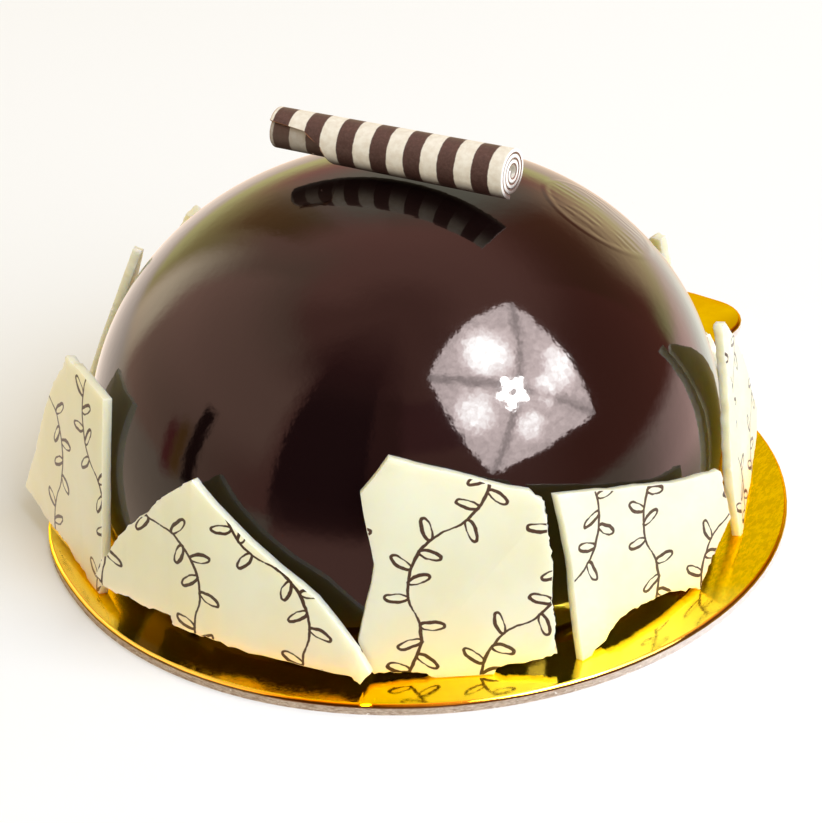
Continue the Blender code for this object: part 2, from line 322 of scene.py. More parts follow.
bm = bmesh.new()
uv = bm.loops.layers.uv.new("face")
bmesh.ops.create_grid(bm, x_segments=12, y_segments=12, size=1.3)
for face in bm.faces:
    for loop in face.loops:
        loop[uv].uv = loop.vert.co.xy
low_left, low_right, top_left, top_right = SOFTBOX_CORNERS
for vert in bm.verts:
    across, up = (vert.co.x + 1) / 2, (vert.co.y + 1) / 2
    vert.co.xy = low_left.lerp(low_right, across).lerp(top_left.lerp(top_right, across), up) * MM
facing = (Vector((0, 0, 20)) * MM - SOFTBOX_PLACE).normalized()
right = Vector((0, 0, 1)).cross(-facing).normalized()
turn = Matrix((right, (-facing).cross(right), -facing)).transposed().to_4x4()
bmesh.ops.transform(bm, matrix=Matrix.Translation(SOFTBOX_PLACE) @ turn, verts=bm.verts)
bmesh.ops.reverse_faces(bm, faces=bm.faces)
softbox_mesh = bpy.data.meshes.new("softbox")
bm.to_mesh(softbox_mesh)
bm.free()
softbox = bpy.data.objects.new("softbox", softbox_mesh)
softbox.visible_camera = False
softbox.visible_diffuse = False
softbox.visible_shadow = False
scene.collection.objects.link(softbox)
softbox_mesh.materials.append(softbox_finish())

lamp_data = bpy.data.lights.new("lamp", "AREA")
lamp_data.shape = "SQUARE"
lamp_data.size = LAMP_SIZE
lamp_data.energy = LAMP_POWER
lamp_data.color = LAMP_COLOUR
lamp = bpy.data.objects.new("lamp", lamp_data)
lamp.matrix_world = Matrix.Translation(SOFTBOX_PLACE) @ turn
lamp.visible_camera = False
lamp.visible_glossy = False
scene.collection.objects.link(lamp)
print("softbox", round(SOFTBOX_PLACE.length, 2), "m away, lamp of", LAMP_POWER, "W")

# %% [markdown]
# ## The table
#
# The dessert stands on a plain white table. A big disc is enough, as long as it reaches past the
# view from every side.

# %% Table
bm = bmesh.new()
bmesh.ops.create_circle(bm, cap_ends=True, segments=64, radius=6)
table_mesh = bpy.data.meshes.new("table")
bm.to_mesh(table_mesh)
bm.free()
table_top = bpy.data.objects.new("table", table_mesh)
table_top.visible_glossy = False
scene.collection.objects.link(table_top)
white_table, _, table_shader = new_finish("white_table")
table_shader.inputs["Base Color"].default_value = colour(0.9, 0.9, 0.9)
table_shader.inputs["Roughness"].default_value = 0.9
table_shader.inputs["Specular IOR Level"].default_value = 0.0
table_mesh.materials.append(white_table)
print("table ready")

# %% [markdown]
# ## Helpers for pieces
#
# A few short helpers are shared by the pieces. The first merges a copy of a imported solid, whose
# triangles are loose, and dissolves its flat faces back into whole ones, so that it can be cut
# and bevelled further. The second turns a finished bmesh into an object that rides on the body
# and stands for its solid. The others pick the sharp edges for a bevel, and bevel the rim of a
# sheet of chocolate.

# %% Piece helpers
UV_UNIT = 100  # mm on a piece for one unit of its UV map
FINEST = 0.001 * MM  # points nearer than this are one point


def copy_of(node):
    """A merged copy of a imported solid, with its flat faces whole."""
    bm = bmesh.new()
    bm.from_mesh(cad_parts[node].data)
    bmesh.ops.remove_doubles(bm, verts=bm.verts, dist=FINEST)
    bmesh.ops.dissolve_limit(bm, angle_limit=math.radians(0.5), verts=bm.verts, edges=bm.edges)
    return bm


def settle(bm, name, node, materials, sharp=40):
    """The piece for a node: its mesh is already in place, so its object stays at the origin."""
    for face in bm.faces:
        face.smooth = True
    mesh = bpy.data.meshes.new(name)
    bm.to_mesh(mesh)
    bm.free()
    if "custom_normal" in mesh.attributes:
        mesh.attributes.remove(mesh.attributes["custom_normal"])
    mesh.set_sharp_from_angle(angle=math.radians(sharp))
    for material in materials:
        mesh.materials.append(material)
    piece = bpy.data.objects.new(name, mesh)
    scene.collection.objects.link(piece)
    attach(piece, "root")
    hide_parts(node)
    mesh.calc_loop_triangles()
    print(f"{name}: {len(mesh.loop_triangles)} triangles")


def sharp_edges(bm, degrees):
    return [e for e in bm.edges if e.is_manifold and e.calc_face_angle() > math.radians(degrees)]


def bevel_rim(bm):
    """Take the edge off the rim of a sheet that lies flat."""
    rim = [e for e in sharp_edges(bm, 50) if abs(e.verts[0].co.z - e.verts[1].co.z) < 0.3 * MM]
    bmesh.ops.bevel(bm, geom=rim, offset=0.07 * MM, segments=2, profile=0.5, affect="EDGES",
                    material=-1, clamp_overlap=True)


# %% [markdown]
# ## The gold card
#
# Such a card is grey board with gold mirror foil laid on it, and the foil is pressed down over
# the rim. The copy of the solid already has the outline of the disc and its tab, so only the rim
# needs work: a bevel makes the foil's round shoulder, a cut along the side marks where the foil
# ends, and an inset sets the bare board a little behind it.

# %% Card finishes
CARD_TOP = 1.3 * MM
FOIL_EDGE = 0.84 * MM  # the foil reaches down to this height on the side
CURL_FROM, CURL_TO = math.radians(-146), math.radians(-99.5)  # where the rim's foil looks curled up
CURL_STARTS = 37.5  # mm from the middle
CURL_STEEPNESS = 0.019  # mm up for each square mm beyond that


def foil_finish():
    """Gold mirror foil: a coloured metal with soft waves, faint speckle, tiny dents, painted
    highlights and painted shade.
    """
    material, foil, shader = new_finish("gold_foil")
    place = foil.node("TexCoord").outputs["Object"]
    in_mm = foil.vector("SCALE", place, 1 / MM)
    x, y, z = foil.node("SeparateXYZ", {0: in_mm}).outputs
    speckle = foil.grain(place, 2600, 3, 0.6)
    warm = foil.mix(foil.ramp(foil.grain(place, 420, 3), 0.35, 0.7),
                    colour(0.90, 0.56, 0.001), colour(0.96, 0.62, 0.002))
    along = foil.node("Mapping", {"Vector": place, "Rotation": (0, 0, 1.1), "Scale": (3, 1, 1)},
                      vector_type="TEXTURE").outputs[0]
    at_right = foil.math("MULTIPLY", foil.ramp(x, 18, 30), foil.ramp(y, 34, 26))
    brushed = foil.ramp(foil.grain(along, 2600, 3, 0.7), 0.6, 0.4, 0.0, 0.45)
    tint = foil.mix(foil.math("MULTIPLY", brushed, at_right), warm, colour(0.50, 0.35, 0.01))
    # painted highlight: the foil in front is paler yellow where it mirrors the bright sheets
    front_painted_highlight = foil.math("MULTIPLY", foil.ramp(y, -18, -32), foil.ramp(x, -9, 18))
    tint = foil.mix(front_painted_highlight, tint, colour(0.98, 0.84, 0.09))
    from_middle = foil.vector("LENGTH", foil.vector("MULTIPLY", in_mm, (1, 1, 0)))
    # painted highlight: a paler yellow on the shoulder of the left rim
    left_rim_painted_highlight = foil.math("MULTIPLY", foil.ramp(x, -12, -30, 0.0, 0.8),
                         foil.ramp(from_middle, 40.4, 41.6))
    tint = foil.mix(left_rim_painted_highlight, tint, colour(0.98, 0.82, 0.18))
    # painted shade: a darker gold on the tab's end, on its side towards the front right
    tab_end_painted_shade = foil.math("MULTIPLY", foil.ramp(from_middle, 50, 55, 0.0, 0.75),
                         foil.ramp(foil.math("SUBTRACT", x, y), -3, 2))
    tint = foil.mix(tab_end_painted_shade, tint, colour(0.55, 0.30, 0.02))
    # painted shade: the foil turned down over the rim goes dark towards its lower edge, from higher
    # up at the right
    side = foil.math("SUBTRACT", z, foil.ramp(x, 8, 26, 0.0, 0.16))
    tint = foil.mix(foil.ramp(side, 1.14, 0.98), tint, colour(0.13, 0.085, 0.02))
    foil.fill(shader.inputs["Base Color"], tint)
    shader.inputs["Metallic"].default_value = 1.0
    shader.inputs["Specular Tint"].default_value = colour(1.0, 0.7, 0.0)
    foil.fill(shader.inputs["Roughness"], foil.ramp(speckle, 0.35, 0.75, 0.06, 0.17))
    azimuth = foil.math("ARCTAN2", y, x)
    curled = foil.math("MULTIPLY", foil.ramp(azimuth, CURL_FROM - 0.07, CURL_FROM + 0.07),
                       foil.ramp(azimuth, CURL_TO + 0.02, CURL_TO - 0.02))
    beyond = foil.math("MAXIMUM", foil.math("SUBTRACT", from_middle, CURL_STARTS), 0.0)
    curl = foil.math("MULTIPLY", foil.math("MULTIPLY", beyond, beyond), CURL_STEEPNESS)
    fine = foil.relief(speckle, 0.006 * MM)
    broad = foil.relief(foil.grain(place, 95, 1), 0.18 * MM, fine)
    lifted = foil.relief(foil.math("MULTIPLY", curl, curled), 1.0 * MM, broad)
    foil.fill(shader.inputs["Normal"], lifted)
    return material


def board_finish():
    """Grey board seen on edge: layers of fibre, with pale flecks, and painted light on its right
    side.
    """
    material, board, shader = new_finish("grey_board")
    place = board.node("TexCoord").outputs["Object"]
    stretched = board.node("Mapping", {"Vector": place, "Scale": (1, 1, 5)}).outputs[0]
    fibre = board.grain(stretched, 1300, 5, 0.7)
    tone = board.mix(board.ramp(fibre, 0.3, 0.7),
                     colour(0.28, 0.19, 0.12), colour(0.66, 0.54, 0.42))
    x = board.node("SeparateXYZ", {0: place}).outputs[0]
    # painted light: the board's edge is paler towards the right, where the softbox lights it
    painted_light_right = board.ramp(x, 12 * MM, 36 * MM)
    tone = board.mix(painted_light_right, tone, board.mix(0.6, tone, colour(0.95, 0.86, 0.80)))
    fleck = board.ramp(board.grain(place, 2400, 2), 0.66, 0.74)
    board.fill(shader.inputs["Base Color"], board.mix(fleck, tone, colour(0.8, 0.74, 0.66)))
    shader.inputs["Roughness"].default_value = 0.85
    board.fill(shader.inputs["Normal"], board.relief(fibre, 0.12 * MM))
    return material


gold_foil, grey_board = foil_finish(), board_finish()

# %% Card
bm = copy_of("cake_card")
top_rim = [e for e in sharp_edges(bm, 60) if all(v.co.z > CARD_TOP - 0.01 * MM for v in e.verts)]
bmesh.ops.bevel(bm, geom=top_rim, offset=0.42 * MM, segments=5, profile=0.5, affect="EDGES",
                material=-1, clamp_overlap=True)
bmesh.ops.bisect_plane(bm, geom=bm.verts[:] + bm.edges[:] + bm.faces[:],
                       plane_co=(0, 0, FOIL_EDGE), plane_no=(0, 0, 1))
bare = [f for f in bm.faces if f.calc_center_median().z < FOIL_EDGE and abs(f.normal.z) < 0.5]
bmesh.ops.inset_region(bm, faces=bare, thickness=0.02 * MM, depth=-0.09 * MM)
for face in bm.faces:
    if face.calc_center_median().z < FOIL_EDGE:
        face.material_index = 1
settle(bm, "card", "cake_card", [gold_foil, grey_board])

# %% [markdown]
# ## The dome and its glaze
#
# Mirror glaze is poured over the frozen dessert and sets as one smooth skin, so the dome is a
# turned shape: a profile spun round an upright line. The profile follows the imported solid, only
# finer. The finish is almost black and very smooth, with a few bubbles and crumbs in it, and an
# unevenness that shows only in the edges of what it reflects.

# %% Glaze
RIPPLES_PLACE = Vector((21.8, 4.5, 35.5)) * MM  # of a small oval of ripples in the glaze
RIPPLES_SIZE = Vector((5.8, 7.0, 1000)) * MM  # half its width and depth, and no limit in height
RIPPLES_ACROSS = (0.53, 0.85, 0.0)
RIPPLE_LENGTH = 1.3 * MM
RIPPLE_HEIGHT = 0.013 * MM


def glaze_finish():
    material, glaze, shader = new_finish("dark_mirror_glaze")
    place = glaze.node("TexCoord").outputs["Object"]
    dot = glaze.specks(place, 130.0, 0.72, 0.022, 0.012)
    tint = glaze.mix(dot, colour(0.005, 0.002, 0.0018), colour(0.30, 0.11, 0.07))
    glaze.fill(shader.inputs["Base Color"], tint)
    shader.inputs["Roughness"].default_value = 0.06
    shader.inputs["IOR"].default_value = 1.46
    fine = glaze.relief(glaze.grain(place, 800, 2, 0.55), 0.012 * MM)
    broad = glaze.relief(glaze.grain(place, 45, 1), 0.08 * MM, fine)
    raised = glaze.relief(dot, 0.02 * MM, broad)
    from_ripples = glaze.vector("SUBTRACT", place, tuple(RIPPLES_PLACE))
    reach = glaze.vector("LENGTH", glaze.vector("DIVIDE", from_ripples, tuple(RIPPLES_SIZE)))
    uneven = glaze.math("MULTIPLY_ADD", glaze.grain(place, 260, 2), 1.6 * MM, -0.8 * MM)
    stepped = glaze.math("ADD", glaze.vector("DOT_PRODUCT", from_ripples, RIPPLES_ACROSS), uneven)
    waves = glaze.math("SINE", glaze.math("MULTIPLY", stepped, 2 * math.pi / RIPPLE_LENGTH))
    inside = glaze.math("MULTIPLY", glaze.ramp(reach, 1.0, 0.86),
                        glaze.ramp(glaze.grain(place, 330, 2), 0.35, 0.65, 0.15, 1.0))
    ridge = glaze.ramp(glaze.math("ABSOLUTE", glaze.math("SUBTRACT", reach, 1.0)), 0.11, 0.0)
    marks = glaze.math("MULTIPLY_ADD", waves, inside, glaze.math("MULTIPLY", ridge, 2.3))
    glaze.fill(shader.inputs["Normal"], glaze.relief(marks, RIPPLE_HEIGHT, raised))
    return material


dark_glaze = glaze_finish()

# %% Dome
DOME_CENTRE = Vector((-1.2, 1.6, 0)) * MM
DOME_RADIUS = 36.6 * MM
DOME_TOP = 41.9 * MM
DOME_WIDEST = 8.8 * MM  # the height at which it is widest
DOME_FOOT = 34.2 * MM  # its radius at the bottom
DOME_UNDERSIDE = CARD_TOP + 0.05 * MM
SQUARENESS = 2.15  # 2 would be a round profile
RINGS = 72
FOOT_RINGS = 12


def dome_profile():
    """Points (distance from the middle, height) down the side, from the pole to the foot."""
    points = []
    for i in range(RINGS + 1):
        angle = math.pi / 2 * (1 - i / RINGS)
        across, up = math.cos(angle), math.sin(angle)
        points.append((DOME_RADIUS * max(across, 0) ** (2 / SQUARENESS),
                       DOME_WIDEST + (DOME_TOP - DOME_WIDEST) * up ** (2 / SQUARENESS)))
    for i in range(1, FOOT_RINGS + 1):
        angle = math.pi / 2 * i / FOOT_RINGS
        points.append((DOME_RADIUS - (DOME_RADIUS - DOME_FOOT) * (1 - math.cos(angle)),
                       DOME_WIDEST - (DOME_WIDEST - DOME_UNDERSIDE) * math.sin(angle)))
    return points + [(0, DOME_UNDERSIDE)]


bm = bmesh.new()
line = [bm.verts.new(DOME_CENTRE + Vector((x, 0, z))) for x, z in dome_profile()]
for above, below in zip(line, line[1:]):
    bm.edges.new((above, below))
bmesh.ops.spin(bm, geom=bm.verts[:] + bm.edges[:], cent=DOME_CENTRE, axis=(0, 0, 1),
               angle=2 * math.pi, steps=200, use_merge=True)
bmesh.ops.remove_doubles(bm, verts=bm.verts, dist=FINEST)
bmesh.ops.recalc_face_normals(bm, faces=bm.faces)
settle(bm, "glazed_dome", "dome", [dark_glaze])

# %% [markdown]
# ## The print on the white chocolate
#
# The sheets are cast on a transfer film, which leaves a pattern in cocoa butter. A pen stroke is
# a piece of an ellipse's outline. The group below gives how much a point is covered by such a
# stroke: it turns the point into the ellipse's own axes, estimates how far away the outline is,
# and swells the line towards the middle of its sweep as a broad nib does. Each arch of a vine's
# stem is one long stroke, and each leaf is one that goes all round its ellipse. Half of the vine
# is listed, and the other half is the same turned by 180 degrees. The pattern repeats it in rows.

# %% Pen stroke
def pen_stroke_group():
    group = bpy.data.node_groups.new("pen_stroke", "ShaderNodeTree")
    face = group.interface
    for name, kind in (("Place", "NodeSocketVector"), ("Centre", "NodeSocketVector"),
                       ("Half size", "NodeSocketVector"), ("Turn", "NodeSocketFloat"),
                       ("Middle", "NodeSocketFloat"), ("Half sweep", "NodeSocketFloat"),
                       ("Thin", "NodeSocketFloat"), ("Swell", "NodeSocketFloat")):
        face.new_socket(name, in_out="INPUT", socket_type=kind)
    face.new_socket("Ink", in_out="OUTPUT", socket_type="NodeSocketFloat")
    pen = Finish(group)
    given = group.nodes.new("NodeGroupInput").outputs
    moved = pen.vector("SUBTRACT", given["Place"], given["Centre"])
    turned = pen.node("VectorRotate", {"Vector": moved, "Axis": (0, 0, 1),
                                       "Angle": pen.math("MULTIPLY", given["Turn"], -1)}).outputs[0]
    unit = pen.vector("DIVIDE", turned, given["Half size"])
    slope = pen.vector("LENGTH", pen.vector("DIVIDE", unit, given["Half size"]))
    reach = pen.vector("LENGTH", unit)
    above = pen.math("MULTIPLY", reach, pen.math("SUBTRACT", reach, 1))
    away = pen.math("ABSOLUTE", pen.math("DIVIDE", above, pen.math("MAXIMUM", slope, 0.001)))
    parts = pen.node("SeparateXYZ", {0: unit})
    angle = pen.math("ARCTAN2", parts.outputs[1], parts.outputs[0])
    turned_from = pen.math("SUBTRACT", angle, given["Middle"])
    around = pen.math("ABSOLUTE", pen.math("WRAP", turned_from, math.pi, -math.pi))
    share = pen.math("DIVIDE", around, given["Half sweep"])
    swell = pen.math("SUBTRACT", 1, pen.math("MULTIPLY", share, share), clamp=True)
    half_width = pen.math("MULTIPLY_ADD", given["Swell"], swell, given["Thin"])
    edge = pen.math("SUBTRACT", half_width, away)
    inked = pen.node("MapRange", {0: edge, 1: -0.03, 2: 0.03}).outputs[0]
    ended = pen.node("MapRange", {0: share, 1: 1.0, 2: 1.03, 3: 1.0, 4: 0.0}).outputs[0]
    result = group.nodes.new("NodeGroupOutput")
    pen.fill(result.inputs["Ink"], pen.math("MULTIPLY", inked, ended))
    return group


pen_stroke = pen_stroke_group()

# %% Vine pattern
HALF_VINE = (
    # centre, half size, turn, middle and half sweep in degrees, thin and swell in mm
    ((-5.15, -2.20), (5.95, 4.40), 0, 90, 60, 0.10, 0.09),  # an arch of the stem
    ((-9.42, 2.39), (1.30, 0.48), 110, 90, 180, 0.07, 0.14),  # leaves outside it
    ((-5.33, 3.44), (1.30, 0.48), 75, 90, 180, 0.07, 0.14),
    ((-0.74, 2.24), (1.30, 0.48), 40, 90, 180, 0.07, 0.14),
    ((-6.58, 0.92), (1.25, 0.45), -50, 90, 180, 0.07, 0.14),  # leaves inside it
    ((-3.50, 0.81), (1.25, 0.45), -85, 90, 180, 0.07, 0.14),
)
PITCH = (20.6, 11.4)  # mm of vine before it repeats along a row, and between rows
ROW_SHIFT = 7.6  # mm that each row is shifted along the one below


def print_ink(recipe, place):
    """How much of the surface is inked, for a place in mm on the sheet."""
    parts = recipe.node("SeparateXYZ", {0: place})
    row = recipe.math("FLOOR", recipe.math("DIVIDE", parts.outputs[1], PITCH[1]))
    along = recipe.math("SUBTRACT", parts.outputs[0], recipe.math("MULTIPLY", row, ROW_SHIFT))
    x = recipe.math("WRAP", along, PITCH[0] / 2, -PITCH[0] / 2)
    y = recipe.math("SUBTRACT", recipe.math("WRAP", parts.outputs[1], PITCH[1], 0), PITCH[1] / 2)
    cell = recipe.node("CombineXYZ", {0: x, 1: y}).outputs[0]
    wobble = recipe.node("TexNoise", {"Vector": place, "Scale": 0.6}).outputs["Color"]
    shaken = recipe.vector("SCALE", recipe.vector("SUBTRACT", wobble, (0.5, 0.5, 0.5)), 0.5)
    cell = recipe.vector("MULTIPLY", recipe.vector("ADD", cell, shaken), (1, 1, 0))
    ink = 0.0
    for centre, half, turn, middle, sweep, thin, swell in HALF_VINE:
        for side, about in ((1, 0), (-1, 180)):
            inputs = {"Place": cell, "Centre": (side * centre[0], side * centre[1], 0),
                      "Half size": (*half, 1), "Turn": math.radians(turn + about),
                      "Middle": math.radians(middle), "Half sweep": math.radians(sweep),
                      "Thin": thin, "Swell": swell}
            stroke = recipe.node("Group", node_tree=pen_stroke)
            for name, value in inputs.items():
                recipe.fill(stroke.inputs[name], value)
            ink = recipe.math("MAXIMUM", ink, stroke.outputs["Ink"])
    return ink


def white_chocolate_finish(name, printed):
    """Ivory chocolate with a satin skin, and the print on it if it is the printed side."""
    material, white, shader = new_finish(name)
    place = white.node("TexCoord").outputs["Object"]
    cloud = white.ramp(white.grain(place, 130, 2), 0.3, 0.7)
    body = white.mix(cloud, colour(0.87, 0.81, 0.59), colour(0.84, 0.77, 0.53))
    if printed:
        on_sheet = white.vector("SCALE", white.node("TexCoord").outputs["UV"], UV_UNIT)
        patchy = white.ramp(white.grain(on_sheet, 5.0, 2), 0.2, 0.42, 0.9, 1.0)
        cover = white.math("MULTIPLY", print_ink(white, on_sheet), patchy)
        body = white.mix(cover, body, colour(0.036, 0.017, 0.003))
        white.fill(shader.inputs["Subsurface Weight"], white.ramp(cover, 0.0, 1.0, 1.0, 0.0))
    else:
        shader.inputs["Subsurface Weight"].default_value = 1.0
    white.fill(shader.inputs["Base Color"], body)
    shader.inputs["Roughness"].default_value = 0.38
    shader.inputs["Subsurface Radius"].default_value = Vector((3.2, 2.5, 1.5)) * MM
    shader.inputs["Subsurface Scale"].default_value = 1.0
    white.fill(shader.inputs["Normal"], white.relief(white.grain(place, 900, 3), 0.012 * MM))
    return material


printed_white = white_chocolate_finish("printed_white_chocolate", True)
plain_white = white_chocolate_finish("plain_white_chocolate", False)

# %% [markdown]
# ## The broken sheets
#
# A plate of white chocolate has been snapped into pieces, which lean on the dome with their
# printed side out. Some of their edges are cut clean and others are broken, with fine teeth. Each
# copy of a solid is laid flat in its own frame (x along the sheet, y up it and z outwards), gets
# more points along its rim and is nudged there by noise, a lot where it is broken and hardly
# where it is cut. Then its rim is bevelled, its face gets a UV map in its own frame for the
# print, and it is stood up again. The one that is bent is unrolled first and bent again last.

# %% Sheets
SHEET = 1.1 * MM
STANDS = {
    # azimuth that it faces, reach from the dome's axis in mm, lean inwards, turn of the print
    "sheet_front": (-89.5, 39.3, 7, 66),
    "sheet_front_left": (-110, 40.65, 7.2, -62),
    "sheet_left": (-155.7, 40, 10, -66),
    "sheet_back_left": (167, 42.9, 20, 60),
    "sheet_rear_left": (134, 40.5, 12, 25),
    "sheet_rear": (103, 39.9, 9, 160),
    "sheet_rear_right": (72, 39.6, 8, -40),
    "sheet_back_right": (42, 40.5, 12, 100),
    "sheet_right_rear": (18, 39.4, 7, -75),
    "sheet_right": (-12, 39.5, 5, 75),
    "sheet_right_front": (-26, 39.5, 6, 75),
    "sheet_front_right": (-46.2, 39.5, 7.2, 68),
}
PRINT_SHIFT = Vector((3.0, 2.0))  # mm
NOISE_SEED = 3  # without one, the broken edges would differ from run to run
BEND_RADIUS, BEND_START = 80 * MM, 7.8 * MM  # of sheet_front_left
FOOT_DROP = 0.27 * MM  # that a sheet's foot is let down towards the card
FINE_TEETH, BROAD_TEETH = 0.62, 1.9  # mm, the sizes of the noise that makes the broken edges
CUT, BROKEN, UNSEEN = 0.03, 0.24, 0.16  # mm that noise may nudge a rim, by the kind of rim
ROUGH_BREAKS = {
    # boxes (x0, y0, x1, y1) in mm on the sheet, where its rim is broken and not cut
    "sheet_front": ((13.2, 1, 16, 21), (-7, -1, 9, 1.9), (8.5, 0, 16, 3.2)),
    "sheet_front_left": ((-28, 5, -12, 22), (-28, -1, 8, 5.2)),
    "sheet_left": ((-23, -1, 8, 3), (-23, 3, -10, 24)),
    "sheet_right": ((-6, -1, 14, 4), (8, 3, 14, 16)),
    "sheet_front_right": ((-9, -1, 13, 7), (10, 3, 13, 13)),
}


def stand_of(azimuth, reach, lean):
    """From a sheet's own frame to where it stands."""
    azimuth, lean = math.radians(azimuth), math.radians(lean)
    foot = DOME_CENTRE + Vector((math.cos(azimuth), math.sin(azimuth), 0)) * reach * MM
    foot.z = CARD_TOP
    turn = Euler((math.pi / 2 - lean, 0, azimuth + math.pi / 2)).to_matrix().to_4x4()
    return Matrix.Translation(foot) @ turn


def unroll(vert):
    away = vert.co.z + BEND_RADIUS
    angle = math.atan2(vert.co.x - BEND_START, away)
    vert.co.z = math.hypot(vert.co.x - BEND_START, away) - BEND_RADIUS
    vert.co.x = BEND_START + BEND_RADIUS * angle


def bend(vert):
    angle = (vert.co.x - BEND_START) / BEND_RADIUS
    radius = BEND_RADIUS + vert.co.z
    vert.co.x = BEND_START + radius * math.sin(angle)
    vert.co.z = radius * math.cos(angle) - BEND_RADIUS


def roughness_at(name, x, y):
    """How far noise may nudge the rim there, in mm."""
    boxes = ROUGH_BREAKS.get(name)
    if boxes is None:
        return UNSEEN
    inside = any(x0 <= x <= x1 and y0 <= y <= y1 for x0, y0, x1, y1 in boxes)
    return BROKEN if inside else CUT


def dress_sheet(node):
    azimuth, reach, lean, print_turn = STANDS[node]
    stand = stand_of(azimuth, reach, lean)
    bent = node == "sheet_front_left"
    bm = copy_of(node)
    bmesh.ops.transform(bm, matrix=stand.inverted(), verts=bm.verts)
    if bent:
        for vert in bm.verts:
            unroll(vert)
            vert.co.z = -SHEET if vert.co.z < -SHEET / 2 else 0
        bm.normal_update()
        bmesh.ops.dissolve_limit(bm, angle_limit=math.radians(2), verts=bm.verts, edges=bm.edges)
        print("the bent sheet, laid flat, has", len(bm.faces), "faces")
    for longest in (1.6, 0.8, 0.55):
        long = [e for e in bm.edges if abs(e.verts[0].co.z - e.verts[1].co.z) < 0.2 * MM
                and e.calc_length() > longest * MM]
        bmesh.ops.subdivide_edges(bm, edges=long, cuts=1, use_grid_fill=True)
    lowest = min(v.co.y for v in bm.verts)
    for vert in bm.verts:
        x, y, z = vert.co / MM
        if y < lowest / MM + 0.1:
            vert.co.y -= FOOT_DROP
            continue
        push = noise.noise_vector(Vector((x, y, 0.35 * z)) / FINE_TEETH)
        push += noise.noise_vector(Vector((x, y, 0)) / BROAD_TEETH)
        vert.co.xy += push.xy * roughness_at(node, x, y) * MM
    bevel_rim(bm)
    if bent:
        left, right = (pick(v.co.x for v in bm.verts) for pick in (min, max))
        for i in range(1, int((right - left) / MM)):
            bmesh.ops.bisect_plane(bm, geom=bm.verts[:] + bm.edges[:] + bm.faces[:],
                                   plane_co=(left + i * MM, 0, 0), plane_no=(1, 0, 0))
    uv = bm.loops.layers.uv.new("sheet")
    turned = Matrix.Rotation(math.radians(-print_turn), 2)
    for face in bm.faces:
        outside = face.normal.z > 0.9 and face.calc_center_median().z > -0.01 * MM
        face.material_index = 0 if outside else 1
        for loop in face.loops:
            loop[uv].uv = (turned @ loop.vert.co.xy / MM + PRINT_SHIFT) / UV_UNIT
    if bent:
        for vert in bm.verts:
            bend(vert)
    bmesh.ops.transform(bm, matrix=stand, verts=bm.verts)
    settle(bm, node.replace("sheet", "white_sheet"), node,
           [printed_white, plain_white], sharp=35)


noise.seed_set(NOISE_SEED)
for node in STANDS:
    dress_sheet(node)

# %% [markdown]
# ## The striped roll
#
# The roll was a thin striped sheet, wound up while it was still soft, and a corner of its outer
# turn has broken off at the left end. It is made the same way here: a grid is given a wall, its
# outer edge is shaped with the missing corner, and then every point is carried round a spiral.
# The flat place of each point stays in the UV map, so the stripes follow the sheet wherever it
# goes, also inside the roll.

# %% Roll finish
ROLL_LENGTH = 29.7 * MM
STRIPE = ROLL_LENGTH / 14
STRIPE_SHIFT = 0.2  # of a stripe, towards the right end
FIRST_TURN = 16.3  # mm of sheet in the outermost turn
UNDERSIDE = (44.6 * MM, 42.7 * MM)  # heights between which painted shade darkens the roll downwards


